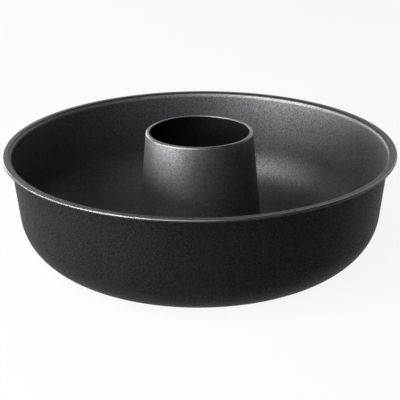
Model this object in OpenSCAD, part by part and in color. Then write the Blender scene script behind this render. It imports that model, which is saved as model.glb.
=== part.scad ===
// Ring cake pan: one deep-drawn steel sheet with a hemmed rim, a drafted wall,
// a wide corner, a flat base and a tapered centre tube that is open at the top.
// Millimetres, +Z up. The origin is the centre of the base, on the table.

/* [Sheet] */
// Thickness of the coated steel sheet
sheet_t = 0.6; // [0.4:0.1:1.2]

/* [Wall] */
// Height from the table to the top of the rim
pan_h = 71.5; // [55:0.5:100]
// Angle by which the wall leans outwards
wall_draft = 5; // [2:0.5:15]
// Inside radius of the corner between the wall and the base
corner_r = 32; // [10:1:36]

/* [Rim] */
// Outside diameter over the rim
rim_d = 260; // [220:1:320]
// Width of the rim, from the outside of the wall to its outer edge
rim_w = 5.1; // [4.5:0.1:9]
// Inside radius of the bend from the wall into the rim
rim_bend_r = 2; // [0.5:0.1:2.5]
// Gap left inside the fold where the sheet is turned back under the rim
hem_gap = 0.6; // [0.2:0.1:1.6]
// Length of the flap that is turned back under the rim
hem_flap = 2.2; // [1:0.1:2.6]

/* [Tube] */
// Height from the table to the top of the tube
tube_h = 80.3; // [60:0.1:105]
// Outside diameter of the tube at its top
tube_top_d = 71.6; // [60:0.2:90]
// Angle by which the tube narrows towards its top
tube_draft = 5.5; // [2:0.5:9]
// Inside radius of the corner between the tube and the base
tube_foot_r = 7; // [3:0.5:12]
// Inside radius of the bend from the tube into its lip
lip_bend_r = 0.9; // [0.3:0.1:1.2]
// Width of the lip that is turned in around the hole
lip_w = 2.4; // [2:0.1:4]

/* [Hidden] */

// Largest distance between a bend and the chords that draw it
chord_sag = 0.01;
// Fewest chords in a bend
bend_steps_min = 6;
// Number of sides round the pan
$fn = 180;

// Heights of the sheet's middle line, half a thickness inside its faces
half_t = sheet_t / 2;
hem_h = 2 * sheet_t + hem_gap;
base_z = half_t;
rim_z = pan_h - half_t;
flap_z = pan_h - hem_h + half_t;
lip_z = tube_h - half_t;

// Radii at which the straight runs would meet if no bend rounded them
hem_edge_r = rim_d / 2 - half_t;
flap_end_r = rim_d / 2 - hem_h / 2 - hem_flap;
wall_head_r = rim_d / 2 - rim_w - half_t / cos(wall_draft);
wall_foot_r = wall_head_r - (rim_z - base_z) * tan(wall_draft);
tube_head_r = tube_top_d / 2 - half_t / cos(tube_draft);
tube_base_r = tube_head_r + (lip_z - base_z) * tan(tube_draft);
hole_r = tube_top_d / 2 - lip_w;

// Corners of the middle line, from the end of the rim's flap to the hole in the
// tube's lip, each as [radius, height, inside radius of its bend]
sheet_run = [
    [flap_end_r, flap_z, 0],
    [hem_edge_r, flap_z, hem_gap / 2],
    [hem_edge_r, rim_z, hem_gap / 2],
    [wall_head_r, rim_z, rim_bend_r],
    [wall_foot_r, base_z, corner_r],
    [tube_base_r, base_z, tube_foot_r],
    [tube_head_r, lip_z, lip_bend_r],
    [hole_r, lip_z, 0],
];

function point(corner) = [corner[0], corner[1]];
function heading(from, to) = atan2(to[1] - from[1], to[0] - from[0]);
function along(angle) = [cos(angle), sin(angle)];
// Turn between two headings, from -180 to 180 degrees
function turn_between(a, b) = (b - a + 540) % 360 - 180;
// Number of chords that keep a bend within chord_sag
function bend_steps(r, turn) =
    max(bend_steps_min, ceil(abs(turn) / (2 * acos(1 - chord_sag / r))));

// The middle line through one corner's bend, each point with its heading
function bend(before, corner, after) =
    let (
        first = heading(point(before), point(corner)),
        turn = turn_between(first, heading(point(corner), point(after))),
        side = sign(turn),
        r = corner[2] + half_t,
        start = point(corner) - r * tan(abs(turn) / 2) * along(first),
        centre = start + r * along(first + 90 * side),
        steps = bend_steps(r, turn)
    )
    [
        for (i = [0:steps])
            let (angle = first + turn * i / steps)
            [centre - r * along(angle + 90 * side), angle]
    ];

// The whole middle line, each point with its heading
function middle_line(run) =
    let (last = len(run) - 1)
    concat(
        [[point(run[0]), heading(point(run[0]), point(run[1]))]],
        [for (i = [1:last - 1]) each bend(run[i - 1], run[i], run[i + 1])],
        [[point(run[last]), heading(point(run[last - 1]), point(run[last]))]]
    );

// One face of the sheet: side 1 is left of the run, -1 is right of it
function face(line, side) =
    [for (p = line) p[0] + side * half_t * along(p[1] + 90)];

function reversed(list) = [for (i = [len(list) - 1:-1:0]) list[i]];

// The section of the sheet, out along one face and back along the other
module sheet_section() {
    line = middle_line(sheet_run);
    polygon(concat(face(line, 1), reversed(face(line, -1))));
}

module pan() {
    color([0.17, 0.18, 0.19])
        rotate_extrude() sheet_section();
}

pan();
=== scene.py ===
"""Looks of the ring cake pan: a dark satin coat on one drawn steel sheet, in a pale studio."""

import math

import bmesh
import bpy
from mathutils import Euler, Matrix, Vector


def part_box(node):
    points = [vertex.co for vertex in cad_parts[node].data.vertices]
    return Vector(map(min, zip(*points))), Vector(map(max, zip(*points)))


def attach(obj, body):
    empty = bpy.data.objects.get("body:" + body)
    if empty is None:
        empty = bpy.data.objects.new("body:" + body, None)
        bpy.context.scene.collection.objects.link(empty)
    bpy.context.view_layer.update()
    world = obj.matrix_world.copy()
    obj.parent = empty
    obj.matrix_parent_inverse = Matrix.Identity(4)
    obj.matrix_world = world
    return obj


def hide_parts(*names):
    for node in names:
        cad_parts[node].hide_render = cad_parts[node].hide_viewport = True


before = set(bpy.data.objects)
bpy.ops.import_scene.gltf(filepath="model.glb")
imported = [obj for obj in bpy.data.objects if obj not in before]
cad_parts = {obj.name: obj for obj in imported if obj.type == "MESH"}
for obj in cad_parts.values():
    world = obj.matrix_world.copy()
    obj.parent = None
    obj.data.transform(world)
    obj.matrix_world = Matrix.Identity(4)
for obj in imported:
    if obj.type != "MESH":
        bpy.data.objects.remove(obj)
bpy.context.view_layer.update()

MM = 0.001
WHITE = (1, 1, 1, 1)

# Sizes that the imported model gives: its least reach from the axis, and its height
low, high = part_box("pan")
RIM_R = min(-low.x, -low.y, high.x, high.y)
TUBE_H = high.z

# Sizes of the sheet, as the part's source has them
SHEET_T = 0.6 * MM
PAN_H = 71.5 * MM
WALL_DRAFT = math.radians(5)
CORNER_R = 32 * MM
RIM_W = 5.1 * MM
RIM_BEND_R = 2 * MM
HEM_GAP = 0.6 * MM
HEM_FLAP = 2.2 * MM
TUBE_TOP_R = 35.8 * MM
TUBE_DRAFT = math.radians(5.5)
TUBE_FOOT_R = 7 * MM
LIP_BEND_R = 0.9 * MM
LIP_W = 2.4 * MM

# Fineness of the visual mesh, round the axis and along the section
SIDES = 288
BEND_STEP = math.radians(4)
BEND_STEPS_MIN = 6
RUN_STEP = 8 * MM
EDGE_STEPS = 8
# Least angle between two faces that stays sharp
SHARP_ANGLE = math.radians(35)
# Points that are closer than this are one
TINY = 1e-7

# Places of the coats in the mesh's list of materials
OUTSIDE = 0
CAKE_SIDE = 1
FLANGE = 2

# Noise in the coats: a fine grain, and clouds over which the colour wanders.
# Nearly all of its values lie between the low one and the high one.
CLOUD_SIZE = 25 * MM
CLOUD_ROUGHNESS = 0.5
GRAIN_ROUGHNESS = 0.6
NOISE_DETAIL = 2
NOISE_LOW = 0.3
NOISE_HIGH = 0.7
# Share of the grain in the coats' change of colour
SPECKLE_SHARE = 0.85
# Share by which the grain changes the coats' shine, which is slightly cool
SHINE_SPREAD = 0.5
SHINE_TINT = (0.97, 0.99, 1, 1)

# Lighter bare metal on the round edges and the bend into the wall: painted highlight, laid where
# the lamps' highlights fall
BARE_HIGHLIGHT_COLOUR = (0.15, 0.15, 0.15, 1)
BARE_HIGHLIGHT_ROUGHNESS = 0.35
# Place on the colour ramp where the coat's colour ends
BARE_HIGHLIGHT_TONE = 0.9
# Reach of the bare bands: on the rim's fold from its edge and from its top, on the lip from its top
BARE_HIGHLIGHT_RIM_W = 1.1 * MM
BARE_HIGHLIGHT_RIM_H = 0.75 * MM
BARE_HIGHLIGHT_LIP_H = 1.15 * MM
BARE_HIGHLIGHT_FADE = 0.3 * MM
# The bend from the flange into the wall turns to lighter bare metal by this share, as painted
# highlight.
# Its band starts this far below the rim's top, and ends this far inside the wall's outer face.
BARE_HIGHLIGHT_BEND_SHARE = 0.55
BARE_HIGHLIGHT_BEND_H = 3.8 * MM
BARE_HIGHLIGHT_BEND_IN = 0.5 * MM
BARE_HIGHLIGHT_BEND_FADE = 0.8 * MM
# It reaches no further in from the rim's edge than this, so the tube has no part in it
BARE_HIGHLIGHT_BEND_REACH = 2 * RIM_W

# Camera, as the photo's perspective gives it, with its lens in millimetres
CAMERA_AT = Vector((0, -592, 272)) * MM
CAMERA_PITCH_DOWN = math.radians(22.2)
CAMERA_ROLL = math.radians(-0.4)
CAMERA_LENS = 83.9

# The floor, and the backdrop that it curves up into
FLOOR_W = 12.0
FLOOR_FRONT = -6.0
FLOOR_BACK = 1.6
FLOOR_DROP = 0.02 * MM
BACKDROP_H = 2.5
BACKDROP_BEND_R = 0.5
BACKDROP_BEND_STEPS = 12
FLOOR_COLOUR = (0.5, 0.5, 0.5, 1)
# Share of white in the floor, where it is seen or reflected
FLOOR_GLOW = 0.9

# The softboxes stand on a sphere round the pan and face its middle
LAMP_DISTANCE = 1.2
LAMP_W = 0.5
LAMP_AIM = Vector((0, 0, 50)) * MM
WORLD_STRENGTH = 0.02


def along(angle):
    return Vector((math.cos(angle), math.sin(angle)))


def heading(start, end):
    return math.atan2(end.y - start.y, end.x - start.x)


def sheet_run():
    """Corners of the sheet's middle line, from the flap under the rim to the hole in the tube's
    lip, each with the inside radius of its bend."""
    half_t = SHEET_T / 2
    hem_h = 2 * SHEET_T + HEM_GAP
    rim_z = PAN_H - half_t
    lip_z = TUBE_H - half_t
    flap_z = PAN_H - hem_h + half_t
    hem_edge_r = RIM_R - half_t
    wall_head_r = RIM_R - RIM_W - half_t / math.cos(WALL_DRAFT)
    wall_foot_r = wall_head_r - (rim_z - half_t) * math.tan(WALL_DRAFT)
    tube_head_r = TUBE_TOP_R - half_t / math.cos(TUBE_DRAFT)
    tube_base_r = tube_head_r + (lip_z - half_t) * math.tan(TUBE_DRAFT)
    return [
        (Vector((RIM_R - hem_h / 2 - HEM_FLAP, flap_z)), 0),
        (Vector((hem_edge_r, flap_z)), HEM_GAP / 2),
        (Vector((hem_edge_r, rim_z)), HEM_GAP / 2),
        (Vector((wall_head_r, rim_z)), RIM_BEND_R),
        (Vector((wall_foot_r, half_t)), CORNER_R),
        (Vector((tube_base_r, half_t)), TUBE_FOOT_R),
        (Vector((tube_head_r, lip_z)), LIP_BEND_R),
        (Vector((TUBE_TOP_R - LIP_W, lip_z)), 0),
    ]


def bend(before, corner, after, inside_r):
    """The middle line through one bend, each point with its heading."""
    first = heading(before, corner)
    turn = (heading(corner, after) - first + math.pi) % (2 * math.pi) - math.pi
    side = math.copysign(math.pi / 2, turn)
    r = inside_r + SHEET_T / 2
    start = corner - r * math.tan(abs(turn) / 2) * along(first)
    centre = start + r * along(first + side)
    steps = max(BEND_STEPS_MIN, math.ceil(abs(turn) / BEND_STEP))
    angles = [first + turn * i / steps for i in range(steps + 1)]
    return [(centre - r * along(angle + side), angle) for angle in angles]


def middle_line():
    """The sheet's whole middle line, each point with its heading, and no step over RUN_STEP."""
    run = sheet_run()
    corners = [(run[0][0], heading(run[0][0], run[1][0]))]
    for (before, _), (corner, inside_r), (after, _) in zip(run, run[1:], run[2:]):
        corners += bend(before, corner, after, inside_r)
    corners.append((run[-1][0], corners[-1][1]))
    line = [corners[0]]
    for (start, _), (end, angle) in zip(corners, corners[1:]):
        length = (end - start).length
        if length < TINY:
            continue
        steps = math.ceil(length / RUN_STEP)
        line += [(start.lerp(end, i / steps), angle) for i in range(1, steps + 1)]
    return line


def sheet_section():
    """The section's outline in two parts: the outside, from the rim's flap to the rounded edge of
    the tube's hole, and the cake's side, from the hole back to the flap."""
    line = middle_line()
    outside = []
    cake_side = []
    for point, angle in line[:-1]:
        across = SHEET_T / 2 * along(angle + math.pi / 2)
        outside.append(point + across)
        cake_side.append(point - across)
    edge, angle = line[-1]
    centre = edge - SHEET_T * along(angle) + SHEET_T / 2 * along(angle + math.pi / 2)
    for i in range(EDGE_STEPS + 1):
        outside.append(centre + SHEET_T * along(angle - math.pi / 2 * i / EDGE_STEPS))
    return outside, cake_side[::-1]


def add_object(name, data):
    obj = bpy.data.objects.new(name, data)
    bpy.context.scene.collection.objects.link(obj)
    return obj


def make_pan(coats):
    """The whole pan, its section turned round the axis, with the coats in the order of OUTSIDE,
    CAKE_SIDE and FLANGE."""
    outside, cake_side = sheet_section()
    loop = outside + cake_side
    bm = bmesh.new()
    rings = []
    for side in range(SIDES):
        turn = along(2 * math.pi * side / SIDES)
        rings.append([bm.verts.new((p.x * turn.x, p.x * turn.y, p.y)) for p in loop])
    for ring, after in zip(rings, rings[1:] + rings[:1]):
        for i, point in enumerate(loop):
            j = (i + 1) % len(loop)
            face = bm.faces.new((ring[i], ring[j], after[j], after[i]))
            face.smooth = True
            if i < len(outside):
                face.material_index = OUTSIDE
            elif point.x > RIM_R - RIM_W:
                face.material_index = FLANGE
            else:
                face.material_index = CAKE_SIDE
    bmesh.ops.recalc_face_normals(bm, faces=bm.faces)
    mesh = bpy.data.meshes.new("pan_sheet")
    bm.to_mesh(mesh)
    bm.free()
    mesh.set_sharp_from_angle(angle=SHARP_ANGLE)
    for material in coats:
        mesh.materials.append(material)
    return add_object("pan_sheet", mesh)


def feed(tree, socket, value):
    """Links a socket to another one, or sets it to a value."""
    if isinstance(value, bpy.types.NodeSocket):
        tree.links.new(value, socket)
    else:
        socket.default_value = value


def node(tree, kind, **inputs):
    """A new shader node, with its named inputs fed."""
    made = tree.nodes.new(kind)
    for name, value in inputs.items():
        feed(tree, made.inputs[name.replace("_", " ")], value)
    return made


def join(tree, operation, first, second):
    """One value from two, by an operation of the math node."""
    made = tree.nodes.new("ShaderNodeMath")
    made.operation = operation
    feed(tree, made.inputs[0], first)
    feed(tree, made.inputs[1], second)
    return made.outputs["Value"]


def noise(tree, place, size, roughness):
    made = node(tree, "ShaderNodeTexNoise", Vector=place, Scale=1 / size, Detail=NOISE_DETAIL,
                Roughness=roughness)
    return made.outputs["Fac"]


def swing(tree, value, at_low, at_high):
    """A value that follows the noise, from its low spots to its high ones."""
    ramp = node(tree, "ShaderNodeMapRange", Value=value, From_Min=NOISE_LOW, From_Max=NOISE_HIGH,
                To_Min=at_low, To_Max=at_high)
    return ramp.outputs["Result"]


def rise(tree, value, start, fade=BARE_HIGHLIGHT_FADE, top=1):
    """0 up to the start, and the top value from the fade's width beyond it."""
    ramp = node(tree, "ShaderNodeMapRange", Value=value, From_Min=start, From_Max=start + fade,
                To_Max=top)
    return ramp.outputs["Result"]


def radius_at(tree, place):
    """Distance from the pan's axis."""
    flat = node(tree, "ShaderNodeVectorMath", Vector=place)
    flat.operation = "MULTIPLY"
    flat.inputs[1].default_value = (1, 1, 0)
    length = node(tree, "ShaderNodeVectorMath", Vector=flat.outputs["Vector"])
    length.operation = "LENGTH"
    return length.outputs["Value"]


def bare_highlight_bands(tree, place):
    """How far the coat turns to lighter bare metal, as painted highlight: 1 on the top of the rim's
    fold and on the bend of the tube's lip, a share of it on the bend from the flange into the wall,
    and 0 elsewhere."""
    radius = radius_at(tree, place)
    height = node(tree, "ShaderNodeSeparateXYZ", Vector=place).outputs["Z"]

    rim_edge = rise(tree, radius, RIM_R - BARE_HIGHLIGHT_RIM_W)
    rim_top = rise(tree, height, PAN_H - BARE_HIGHLIGHT_RIM_H)
    rim = join(tree, "MINIMUM", rim_edge, rim_top)
    lip = rise(tree, height, TUBE_H - BARE_HIGHLIGHT_LIP_H)

    above = rise(tree, height, PAN_H - BARE_HIGHLIGHT_BEND_H, BARE_HIGHLIGHT_BEND_FADE, BARE_HIGHLIGHT_BEND_SHARE)
    flange = rise(tree, radius, RIM_R - RIM_W - BARE_HIGHLIGHT_BEND_IN, BARE_HIGHLIGHT_BEND_FADE)
    outer_band = rise(tree, radius, RIM_R - BARE_HIGHLIGHT_BEND_REACH)
    wall_bend = join(tree, "MINIMUM", outer_band, join(tree, "SUBTRACT", above, flange))
    return join(tree, "MAXIMUM", join(tree, "MAXIMUM", rim, lip), wall_bend)


def coat(name, colour, colour_spread, roughness, gloss_spread, specular, grain_size, grain_depth):
    """A dark satin non-stick coat that turns to lighter bare metal on the round edges as painted
    highlight, with a fine grain like orange peel in its relief, colour, gloss and shine."""
    material = bpy.data.materials.new(name)
    material.use_nodes = True
    tree = material.node_tree
    shader = tree.nodes["Principled BSDF"].inputs
    place = tree.nodes.new("ShaderNodeTexCoord").outputs["Object"]
    grain = noise(tree, place, grain_size, GRAIN_ROUGHNESS)
    cloud = noise(tree, place, CLOUD_SIZE, CLOUD_ROUGHNESS)
    # Painted highlight: lighter bare metal on the rim's fold, the lip and the bend into the wall
    bare_highlight = bare_highlight_bands(tree, place)

    tone = node(tree, "ShaderNodeMix", Factor=SPECKLE_SHARE, A=cloud, B=grain).outputs["Result"]
    tint = node(tree, "ShaderNodeValToRGB", Fac=join(tree, "ADD", tone, bare_highlight))
    dark_colour = [c * (1 - colour_spread) for c in colour] + [1]
    light_colour = [c * (1 + colour_spread) for c in colour] + [1]
    dark, light = tint.color_ramp.elements
    dark.position = NOISE_LOW
    dark.color = dark_colour
    light.position = NOISE_HIGH
    light.color = light_colour
    tint.color_ramp.elements.new(BARE_HIGHLIGHT_TONE).color = light_colour
    # The ramp's last stop is the light metal colour of the painted highlight
    tint.color_ramp.elements.new(1).color = BARE_HIGHLIGHT_COLOUR
    feed(tree, shader["Base Color"], tint.outputs["Color"])
    feed(tree, shader["Metallic"], bare_highlight)

    gloss = swing(tree, grain, roughness + gloss_spread, roughness - gloss_spread)
    smooth = node(tree, "ShaderNodeMix", Factor=bare_highlight, A=gloss, B=BARE_HIGHLIGHT_ROUGHNESS)
    feed(tree, shader["Roughness"], smooth.outputs["Result"])
    shine = swing(tree, grain, specular * (1 - SHINE_SPREAD), specular * (1 + SHINE_SPREAD))
    feed(tree, shader["Specular IOR Level"], shine)
    feed(tree, shader["Specular Tint"], SHINE_TINT)

    bump = node(tree, "ShaderNodeBump", Height=grain, Distance=grain_depth)
    feed(tree, shader["Normal"], bump.outputs["Normal"])
    return material


def make_coats():
    """The coats in the order of OUTSIDE, CAKE_SIDE and FLANGE."""
    return [
        # The outside coat's colour, about five times darker than the cake side's, is painted shade
        coat("coat_outside", colour=(0.0044, 0.0053, 0.0062), colour_spread=0.7, roughness=0.5,
             gloss_spread=0.08, specular=0.05, grain_size=0.9 * MM, grain_depth=0.15 * MM),
        coat("coat_cake_side", colour=(0.0232, 0.0262, 0.0288), colour_spread=0.7, roughness=0.44,
             gloss_spread=0.1, specular=0.7, grain_size=0.9 * MM, grain_depth=0.25 * MM),
        # The flange coat's colour, darker than the cake side's, is painted shade on the rim
        coat("coat_rim", colour=(0.0105, 0.0127, 0.015), colour_spread=0.6, roughness=0.32,
             gloss_spread=0.05, specular=0.1, grain_size=0.9 * MM, grain_depth=0.05 * MM),
    ]


def floor_material():
    """A pale matt floor that looks white to the eye and in reflections, and keeps the shadow."""
    material = bpy.data.materials.new("pale_floor")
    material.use_nodes = True
    tree = material.node_tree
    tree.nodes.clear()
    path = tree.nodes.new("ShaderNodeLightPath").outputs
    shown = path["Is Camera Ray"]
    for ray in ("Is Glossy Ray", "Is Transmission Ray"):
        shown = join(tree, "MAXIMUM", shown, path[ray])
    mix = node(tree, "ShaderNodeMixShader", Fac=join(tree, "MULTIPLY", shown, FLOOR_GLOW))
    matt = node(tree, "ShaderNodeBsdfDiffuse", Color=FLOOR_COLOUR)
    glow = node(tree, "ShaderNodeEmission", Color=WHITE, Strength=1)
    feed(tree, mix.inputs[1], matt.outputs["BSDF"])
    feed(tree, mix.inputs[2], glow.outputs["Emission"])
    node(tree, "ShaderNodeOutputMaterial", Surface=mix.outputs["Shader"])
    return material


def make_floor():
    """One sheet: the floor under the pan, curving up behind it into the backdrop."""
    section = [(FLOOR_FRONT, -FLOOR_DROP)]
    for i in range(BACKDROP_BEND_STEPS + 1):
        angle = -math.pi / 2 + math.pi / 2 * i / BACKDROP_BEND_STEPS
        section.append((
            FLOOR_BACK + BACKDROP_BEND_R * math.cos(angle),
            BACKDROP_BEND_R * (1 + math.sin(angle)) - FLOOR_DROP,
        ))
    section.append((FLOOR_BACK + BACKDROP_BEND_R, BACKDROP_H))
    verts = [(x, y, z) for y, z in section for x in (-FLOOR_W / 2, FLOOR_W / 2)]
    faces = [(2 * i, 2 * i + 1, 2 * i + 3, 2 * i + 2) for i in range(len(section) - 1)]
    mesh = bpy.data.meshes.new("floor")
    mesh.from_pydata(verts, [], faces)
    mesh.shade_smooth()
    mesh.materials.append(floor_material())
    floor = add_object("floor", mesh)


def make_world():
    world = bpy.data.worlds.new("studio")
    world.use_nodes = True
    background = world.node_tree.nodes["Background"].inputs
    background["Color"].default_value = WHITE
    background["Strength"].default_value = WORLD_STRENGTH
    bpy.context.scene.world = world


def softbox(name, azimuth, elevation, power):
    """A square lamp that faces the pan. Its power is in watts, and its angles in degrees:
    azimuth 0 is the camera's side, and 90 is the right."""
    lamp = bpy.data.lights.new(name, "AREA")
    lamp.shape = "SQUARE"
    lamp.size = LAMP_W
    lamp.energy = power
    turn = Euler((math.radians(90 - elevation), 0, math.radians(azimuth)))
    obj = add_object(name, lamp)
    obj.rotation_euler = turn
    obj.location = LAMP_AIM + turn.to_matrix() @ Vector((0, 0, LAMP_DISTANCE))


def make_camera():
    camera = add_object("camera", bpy.data.cameras.new("camera"))
    camera.data.lens = CAMERA_LENS
    camera.location = CAMERA_AT
    level = Euler((math.pi / 2 - CAMERA_PITCH_DOWN, 0, 0)).to_matrix()
    roll = Euler((0, 0, CAMERA_ROLL)).to_matrix()
    camera.rotation_euler = (level @ roll).to_euler()
    bpy.context.scene.camera = camera


pan = make_pan(make_coats())
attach(pan, "root")
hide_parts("pan")

make_floor()
make_world()
# The main light comes from the left and the front
softbox("key_left", azimuth=-62, elevation=4, power=27)
softbox("key_front", azimuth=-42, elevation=6, power=13)
softbox("key_high", azimuth=-55, elevation=45, power=13)
softbox("front_high", azimuth=-12, elevation=38, power=2.5)
softbox("left", azimuth=-90, elevation=1, power=23)
# Weaker lamps light the rim from behind, the right side and the top
softbox("back_left", azimuth=-145, elevation=3, power=7)
softbox("rim_left", azimuth=-157, elevation=22, power=0.5)
softbox("rim_right", azimuth=160, elevation=26, power=0.5)
softbox("right", azimuth=100, elevation=6, power=0.3)
softbox("overhead", azimuth=-20, elevation=62, power=3)
make_camera()
bpy.context.scene.view_settings.view_transform = "Standard"
